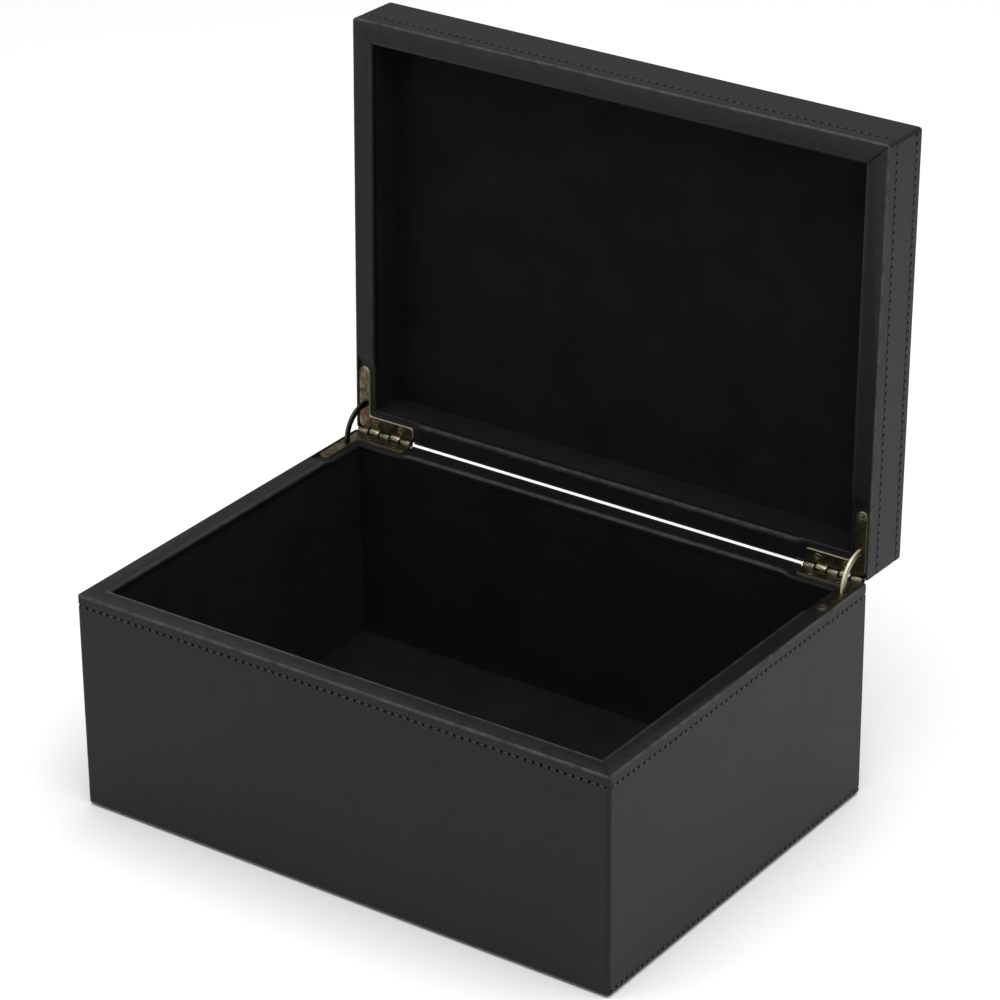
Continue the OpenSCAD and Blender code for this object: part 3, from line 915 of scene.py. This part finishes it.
def grained_leather():
    material, tree, place = new_material("grained_polyurethane_leather")

    # Pebbles with wandering outlines, each a small dome, and finer creases over them.
    drift = add(
        tree, "ShaderNodeTexNoise", {"Vector": place, "Scale": 1 / (1.5 * MM), "Detail": 2.0}
    )
    drifted = add(
        tree,
        "ShaderNodeVectorMath",
        {0: drift.outputs["Color"], 1: (DRIFT, DRIFT, DRIFT), 2: place},
        operation="MULTIPLY_ADD",
    )
    pebble = add(
        tree,
        "ShaderNodeTexVoronoi",
        {"Vector": drifted, "Scale": 1 / PEBBLE},
        feature="DISTANCE_TO_EDGE",
    )
    dome = add(
        tree,
        "ShaderNodeMapRange",
        {"Value": pebble.outputs["Distance"], "From Max": 0.35},
        interpolation_type="SMOOTHSTEP",
    )
    crease = add(
        tree, "ShaderNodeTexNoise", {"Vector": place, "Scale": 1 / (2 * MM), "Detail": 3.0}
    )
    grain = add(tree, "ShaderNodeMath", {0: crease, 1: 0.15, 2: dome}, operation="MULTIPLY_ADD")
    hole = needle_holes(tree)
    pierced = add(tree, "ShaderNodeMath", {0: hole, 1: -5.0, 2: grain}, operation="MULTIPLY_ADD")
    bump = add(
        tree, "ShaderNodeBump", {"Height": pierced, "Strength": 0.7, "Distance": 0.09 * MM}
    )

    # Rubbing and the painted highlight reach a worn edge in patches of a few millimetres.
    wear_and_highlight = add(tree, "ShaderNodeAttribute", attribute_name="wear_and_highlight").outputs["Fac"]
    patches = add(
        tree, "ShaderNodeTexNoise", {"Vector": place, "Scale": 1 / (6 * MM), "Detail": 4.0}
    )
    rubbed_and_highlit = add(
        tree, "ShaderNodeMapRange", {"Value": patches, "From Min": 0.15, "From Max": 0.6}
    )
    worn_and_highlit = add(tree, "ShaderNodeMath", {0: wear_and_highlight, 1: rubbed_and_highlit}, operation="MULTIPLY")

    # Clouds a few centimetres wide vary the black and its gloss.
    cloud = add(
        tree, "ShaderNodeTexNoise", {"Vector": place, "Scale": 1 / (60 * MM), "Detail": 3.0}
    )
    plain = add(
        tree, "ShaderNodeValToRGB", {"Fac": cloud}, stops=((0.3, "#0e0e0f"), (0.7, "#141415"))
    )
    # The pale #404041 on worn edges is partly wear and partly a painted highlight.
    coat = add(
        tree, "ShaderNodeMix", {0: worn_and_highlit, 6: plain, 7: linear("#404041")}, data_type="RGBA"
    ).outputs[2]
    # The holes are painted near black #080808, as painted shade inside them.
    colour = add(
        tree, "ShaderNodeMix", {0: hole, 6: coat, 7: linear("#080808")}, data_type="RGBA"
    ).outputs[2]
    gloss = add(tree, "ShaderNodeMapRange", {"Value": cloud, "To Min": 0.40, "To Max": 0.52})
    shine = add(tree, "ShaderNodeMath", {0: worn_and_highlit, 1: -0.15, 2: gloss}, operation="MULTIPLY_ADD")
    matt = add(tree, "ShaderNodeMath", {0: hole, 1: 0.4, 2: shine}, operation="MULTIPLY_ADD")
    # Black metal in the holes is painted shade: it sends back no gloss.
    black = add(tree, "ShaderNodeMath", {0: hole, 1: 0.75}, operation="MULTIPLY")
    leather = {
        "Base Color": colour,
        "Metallic": black,
        "Roughness": matt,
        "Specular IOR Level": 0.2,
        "Normal": bump,
    }
    shader = add(tree, "ShaderNodeBsdfPrincipled", leather)
    add(tree, "ShaderNodeOutputMaterial", {"Surface": shader})
    return material


LEATHER = grained_leather()
print(LEATHER.name, "has", len(LEATHER.node_tree.nodes), "nodes")

# %% [markdown]
# ### Suede
#
# Microfibre suede: a cloth with a short raised nap that swallows light and only shines a
# little at grazing angles. The nap lies in soft brushed patches of a few centimetres.


# %% Suede
def microfibre_suede():
    material, tree, place = new_material("microfibre_suede")
    nap = add(
        tree, "ShaderNodeTexNoise", {"Vector": place, "Scale": 1 / (0.8 * MM), "Detail": 4.0}
    )
    brushed = add(
        tree, "ShaderNodeTexNoise", {"Vector": place, "Scale": 1 / (30 * MM), "Detail": 3.0}
    )
    bump = add(tree, "ShaderNodeBump", {"Height": nap, "Strength": 0.5, "Distance": 0.15 * MM})
    colour = add(
        tree, "ShaderNodeValToRGB", {"Fac": brushed}, stops=((0.3, "#0a0a0c"), (0.7, "#121213"))
    )
    suede = {
        "Base Color": colour,
        "Roughness": 0.95,
        "Specular IOR Level": 0.1,
        "Sheen Weight": 0.03,
        "Sheen Roughness": 0.5,
        "Normal": bump,
    }
    shader = add(tree, "ShaderNodeBsdfPrincipled", suede)
    add(tree, "ShaderNodeOutputMaterial", {"Surface": shader})
    return material


SUEDE = microfibre_suede()
print(SUEDE.name, "has", len(SUEDE.node_tree.nodes), "nodes")

# %% [markdown]
# ### Antique brass
#
# Pressed brass sheet, blackened and then rubbed back with an abrasive, so that it is paler on the
# high places, olive brown elsewhere, and finely scratched. The paleness is partly that rubbing and
# partly a painted highlight. No two parts are painted alike: the lid's leaves and the right arm
# get more painted highlight than the leaves on the base, and the left arm is painted almost black
# as painted shade. So one recipe takes how much painted highlight and painted shade each part
# gets.

# %% Patterns on the hinge barrel
KNUCKLES = 5
BARREL_MM = 2.0


def from_axis(tree, place):
    """The distance of a point from the hinge axis, in millimetres."""
    off = add(tree, "ShaderNodeVectorMath", {0: place, 1: HINGE}, operation="SUBTRACT")
    flat = add(
        tree, "ShaderNodeVectorMath", {0: off, 1: (0, 1 / MM, 1 / MM)}, operation="MULTIPLY"
    )
    return add(tree, "ShaderNodeVectorMath", {0: flat}, operation="LENGTH").outputs["Value"]


def knuckle_joints(tree, place):
    """1 where two knuckles meet, 0 along them, counted in knuckles from the inner end."""
    split = add(tree, "ShaderNodeSeparateXYZ", {"Vector": place})
    across = add(tree, "ShaderNodeMath", {0: split.outputs["X"]}, operation="ABSOLUTE")
    width = (leaf_high.x - leaf_low.x) / KNUCKLES
    count = add(
        tree,
        "ShaderNodeMath",
        {0: across, 1: 1 / width, 2: -leaf_low.x / width},
        operation="MULTIPLY_ADD",
    )
    near = add(tree, "ShaderNodeMath", {0: count, 1: 0.5}, operation="PINGPONG")
    return add(tree, "ShaderNodeMapRange", {"Value": near, "From Min": 0.1, "From Max": 0.05})


print("a knuckle is", round((leaf_high.x - leaf_low.x) / KNUCKLES / MM, 1), "mm wide")


# %% Antique brass
def antique_brass(name, flat_axis, edge_rub_and_highlight=1, face_rub_and_highlight=0, blushed=1, painted_shade=0):
    """Brass sheet whose face looks along flat_axis. The rest says how pale its cut edges are
    painted and how far its face is, partly for rubbing and partly as a painted highlight, how much
    copper shows, and how much painted shade darkens it."""
    material, tree, place = new_material(name)
    stretched = add(tree, "ShaderNodeMapping", {"Vector": place, "Scale": (1, 0.06, 0.06)})
    scratch = add(
        tree, "ShaderNodeTexNoise", {"Vector": stretched, "Scale": 1 / (0.3 * MM), "Detail": 3.0}
    )
    bump = add(
        tree, "ShaderNodeBump", {"Height": scratch, "Strength": 0.3, "Distance": 0.05 * MM}
    )

    # Rubbing and a painted highlight reach the edges of the sheet and the barrel, but not the
    # joints of its knuckles.
    normal = add(tree, "ShaderNodeTexCoord").outputs["Normal"]
    shape = add(tree, "ShaderNodeSeparateXYZ", {"Vector": normal})
    facing = add(tree, "ShaderNodeMath", {0: shape.outputs[flat_axis]}, operation="ABSOLUTE")
    edge = add(
        tree,
        "ShaderNodeMapRange",
        {"Value": facing, "From Min": 0.8, "From Max": 0.4, "To Max": edge_rub_and_highlight},
    )
    far = from_axis(tree, place)
    barrel = add(
        tree,
        "ShaderNodeMapRange",
        {"Value": far, "From Min": BARREL_MM + 0.1, "From Max": BARREL_MM - 0.1, "To Max": 0.15},
    )
    kept = add(tree, "ShaderNodeMath", {0: barrel, 1: face_rub_and_highlight}, operation="MAXIMUM")
    either = add(tree, "ShaderNodeMath", {0: edge, 1: kept}, operation="MAXIMUM")
    near = add(
        tree,
        "ShaderNodeMapRange",
        {"Value": far, "From Min": BARREL_MM + 1.2, "From Max": BARREL_MM + 0.4},
    )
    joints = knuckle_joints(tree, place)
    joint = add(tree, "ShaderNodeMath", {0: joints, 1: near}, operation="MULTIPLY")
    rubbed_and_highlit = add(
        tree, "ShaderNodeMath", {0: either, 1: joint}, operation="SUBTRACT", use_clamp=True
    )

    # Olive patina of a few millimetres, copper blushes, black in the joints of the knuckles, and
    # black painted shade over a part that gets it.
    patina = add(
        tree, "ShaderNodeTexNoise", {"Vector": place, "Scale": 1 / (4 * MM), "Detail": 6.0}
    )
    olive = add(
        tree, "ShaderNodeValToRGB", {"Fac": patina}, stops=((0.35, "#3d3b2d"), (0.68, "#767258"))
    )
    copper = add(
        tree, "ShaderNodeTexNoise", {"Vector": place, "Scale": 1 / (9 * MM), "Detail": 2.0}
    )
    blush = add(
        tree,
        "ShaderNodeMapRange",
        {"Value": copper, "From Min": 0.57, "From Max": 0.7, "To Max": blushed},
    )
    plain = add(
        tree, "ShaderNodeMix", {0: blush, 6: olive, 7: linear("#523a2d")}, data_type="RGBA"
    ).outputs[2]
    black = add(tree, "ShaderNodeMath", {0: joint, 1: painted_shade}, operation="MAXIMUM")
    dull = add(
        tree, "ShaderNodeMix", {0: black, 6: plain, 7: linear("#15140e")}, data_type="RGBA"
    ).outputs[2]
    # Pale #e6dfc6 on the edges, the barrel and a handled face is partly rubbed brass and partly a
    # painted highlight.
    colour = add(
        tree, "ShaderNodeMix", {0: rubbed_and_highlit, 6: dull, 7: linear("#e6dfc6")}, data_type="RGBA"
    ).outputs[2]

    # The barrel is burnished by the lid, and the cut edges are left as the file made them.
    gloss = add(tree, "ShaderNodeMapRange", {"Value": patina, "To Min": 0.45, "To Max": 0.3})
    filed = add(tree, "ShaderNodeMath", {0: edge, 1: 0.25, 2: gloss}, operation="MULTIPLY_ADD")
    shine = add(tree, "ShaderNodeMath", {0: barrel, 1: -0.8, 2: filed}, operation="MULTIPLY_ADD")
    brass = {"Base Color": colour, "Metallic": 1.0, "Roughness": shine, "Normal": bump}
    shader = add(tree, "ShaderNodeBsdfPrincipled", brass)
    add(tree, "ShaderNodeOutputMaterial", {"Surface": shader})
    return material


# The lid's leaves and the right arm get more painted highlight, beside their rubbing, where they
# catch the light.
BASE_BRASS = antique_brass("antique_brass_base", "Z", edge_rub_and_highlight=0.35)
LID_BRASS = antique_brass("antique_brass_lid", "Y")
RIGHT_ARM = antique_brass("rubbed_and_highlit_brass", "X", face_rub_and_highlight=0.25, blushed=0.2)
# The left arm is painted almost black as painted shade.
LEFT_ARM = antique_brass("painted_shade_brass", "X", edge_rub_and_highlight=0.05, blushed=0, painted_shade=0.75)
print("brasses:", [brass.name for brass in (BASE_BRASS, LID_BRASS, RIGHT_ARM, LEFT_ARM)])

# %% [markdown]
# ### Thread and fibreboard
#
# The thread is waxed polyester, black and slightly shiny. The board is medium density
# fibreboard, pressed wood fibre of an even light brown, which only shows inside the slots.


# %% Thread and fibreboard
def waxed_thread():
    material, tree, place = new_material("waxed_thread")
    twist = add(
        tree, "ShaderNodeTexNoise", {"Vector": place, "Scale": 1 / (0.4 * MM), "Detail": 2.0}
    )
    colour = add(
        tree, "ShaderNodeValToRGB", {"Fac": twist}, stops=((0, "#161616"), (1, "#222222"))
    )
    shader = add(tree, "ShaderNodeBsdfPrincipled", {"Base Color": colour, "Roughness": 0.4})
    add(tree, "ShaderNodeOutputMaterial", {"Surface": shader})
    return material


def fibreboard():
    material, tree, place = new_material("fibreboard")
    fibre = add(
        tree, "ShaderNodeTexNoise", {"Vector": place, "Scale": 1 / (0.6 * MM), "Detail": 6.0}
    )
    bump = add(tree, "ShaderNodeBump", {"Height": fibre, "Strength": 0.3, "Distance": 0.1 * MM})
    colour = add(
        tree, "ShaderNodeValToRGB", {"Fac": fibre}, stops=((0, "#8d7350"), (1, "#b59a72"))
    )
    board = {"Base Color": colour, "Roughness": 0.9, "Normal": bump}
    shader = add(tree, "ShaderNodeBsdfPrincipled", board)
    add(tree, "ShaderNodeOutputMaterial", {"Surface": shader})
    return material


THREAD = waxed_thread()
BOARD = fibreboard()
print("also:", THREAD.name, "and", BOARD.name)

# %% [markdown]
# ## Dressing the new pieces
#
# Every new piece gets its material, rides on its body, so that it moves with it, and hides the
# CAD node that it stands for.


# %% Dress the new pieces
def dress(piece, material, body, slot, *nodes):
    piece.data.materials.clear()
    piece.data.materials.append(material)
    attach(piece, body)
    if nodes:
        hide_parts(*nodes)
    print(piece.name, "rides on", body)


dress(base_leather, LEATHER, "base", "black_leather", "base_leather_wrap")
dress(lid_leather, LEATHER, "lid", "black_leather", "lid_leather_wrap")
dress(top_sheet, LEATHER, "lid", "black_leather", "lid_top_leather")
dress(bottom_pad, SUEDE, "base", "black_suede", "base_bottom_pad")
for body, lining in (("base", base_lining), ("lid", lid_lining)):
    for side in ("front", "back", "left", "right"):
        dress(lining[side], SUEDE, body, "black_suede", body + "_" + side + "_lining")
dress(base_lining["floor"], SUEDE, "base", "black_suede", "base_floor_lining")
dress(lid_lining["floor"], SUEDE, "lid", "black_suede", "lid_top_lining")
dress(base_stitches, THREAD, "base", "black_leather")
dress(lid_stitches, THREAD, "lid", "black_leather")

# %% [markdown]
# ## Dressing the CAD pieces
#
# Boards and brass keep their CAD shape. The brass gets live modifiers: its loose triangles are
# welded, flat faces are merged, and every hard edge is rounded by a tenth of a millimetre, as
# on pressed and tumbled brass. That thin round is what catches the light.

# %% Dress the CAD pieces
SHEET_ROUND = 0.14 * MM
PIN_ROUND = 0.06 * MM
WELD_REACH = 0.002 * MM


def soften_brass(node, width):
    weld = node.modifiers.new("Weld", "WELD")
    weld.merge_threshold = WELD_REACH
    flat = node.modifiers.new("Merge flats", "DECIMATE")
    flat.decimate_type = "DISSOLVE"
    flat.angle_limit = math.radians(1)
    edge = node.modifiers.new("Soft edges", "BEVEL")
    edge.width = width
    edge.segments = 2
    edge.limit_method = "ANGLE"
    edge.angle_limit = math.radians(35)
    edge.harden_normals = True


def metal_of(name):
    if "arm" in name:
        return RIGHT_ARM if "right" in name else LEFT_ARM
    return LID_BRASS if "lid" in name else BASE_BRASS


for name, node in frame["nodes"].items():
    node.data.materials.clear()
    if "board" in name:
        node.data.materials.append(BOARD)
    elif "leaf" in name or "arm" in name:
        node.data.materials.append(metal_of(name))
        soften_brass(node, SHEET_ROUND)
    elif "pin" in name or "screws" in name:
        node.data.materials.append(metal_of(name))
        soften_brass(node, PIN_ROUND)
    else:
        node.data.materials.append(SUEDE)
print("dressed", len(frame["nodes"]), "CAD nodes")

# %% [markdown]
# ## Camera
#
# The camera was solved from the straight edges of the box in the photograph. A long lens
# stands about two metres off, to the right of the front and above, and leans by half a degree.

# %% Camera
AIM = Vector((0.01683, 0.00159, 0.18022))
AZIMUTH = 35.3138
ELEVATION = 26.5309
ROLL = -0.4826
DISTANCE = 2.1
LENS = 149.04
SENSOR_W = 36


def photo_camera():
    az, el = math.radians(AZIMUTH), math.radians(ELEVATION)
    back = Vector((math.sin(az) * math.cos(el), -math.cos(az) * math.cos(el), math.sin(el)))
    data = bpy.data.cameras.new("camera")
    data.lens = LENS
    data.sensor_width = SENSOR_W
    data.sensor_fit = "HORIZONTAL"
    camera = bpy.data.objects.new("camera", data)
    bpy.context.scene.collection.objects.link(camera)
    camera.location = AIM + back * DISTANCE
    camera.rotation_mode = "QUATERNION"
    level = (-back).to_track_quat("-Z", "Y")
    camera.rotation_quaternion = level @ Quaternion((0, 0, 1), math.radians(ROLL))
    return camera


bpy.context.scene.camera = photo_camera()
print("camera at", [round(v, 3) for v in bpy.context.scene.camera.location])

# %% [markdown]
# ## Light
#
# The light is a broad softbox overhead, a small one low at the front left, which draws a line
# along the rims, and an even white surround. The walls of the box faintly mirror the white
# floor, the right one more, because the camera looks along it at a flatter angle.

# %% Lights
SURROUND = 0.45


def softbox(name, place, aim, size, power):
    data = bpy.data.lights.new(name, "AREA")
    data.size = size
    data.energy = power
    light = bpy.data.objects.new(name, data)
    bpy.context.scene.collection.objects.link(light)
    light.location = place
    light.rotation_euler = (Vector(aim) - Vector(place)).to_track_quat("-Z", "Y").to_euler()


softbox("overhead", (0.45, -0.2, 2.6), aim=(0, 0, 0), size=3.3, power=87)
softbox("front_left", (-1.5, -2.2, 0.8), aim=(0, 0, 0.15), size=1.0, power=4.5)
world = bpy.data.worlds.new("studio")
world.use_nodes = True
surround = world.node_tree.nodes["Background"].inputs
surround["Color"].default_value = (1, 1, 1, 1)
surround["Strength"].default_value = SURROUND
bpy.context.scene.world = world
bpy.context.scene.view_settings.view_transform = "Standard"
print("two softboxes and a surround of", SURROUND)

# %% [markdown]
# ## Floor
#
# The box stands on white paper, wide enough that no edge of it shows. It lies a tenth of a
# millimetre below the pad, because two faces in the same place would flicker.

# %% Floor
FLOOR_SIZE = 30
FLOOR_GAP = 0.1 * MM


def studio_floor():
    bpy.ops.object.select_all(action="DESELECT")
    bpy.ops.mesh.primitive_plane_add(size=FLOOR_SIZE, location=(0, 0, -FLOOR_GAP))
    floor = bpy.context.active_object
    floor.name = "studio_floor"
    bpy.ops.object.transform_apply(location=True, rotation=True, scale=True)
    material, tree, _ = new_material("white_paper")
    paper = {"Base Color": linear("#fafafa"), "Roughness": 0.9, "Specular IOR Level": 0.2}
    shader = add(tree, "ShaderNodeBsdfPrincipled", paper)
    add(tree, "ShaderNodeOutputMaterial", {"Surface": shader})
    floor.data.materials.append(material)
    return floor


floor = studio_floor()
print("floor is", FLOOR_SIZE, "m wide")
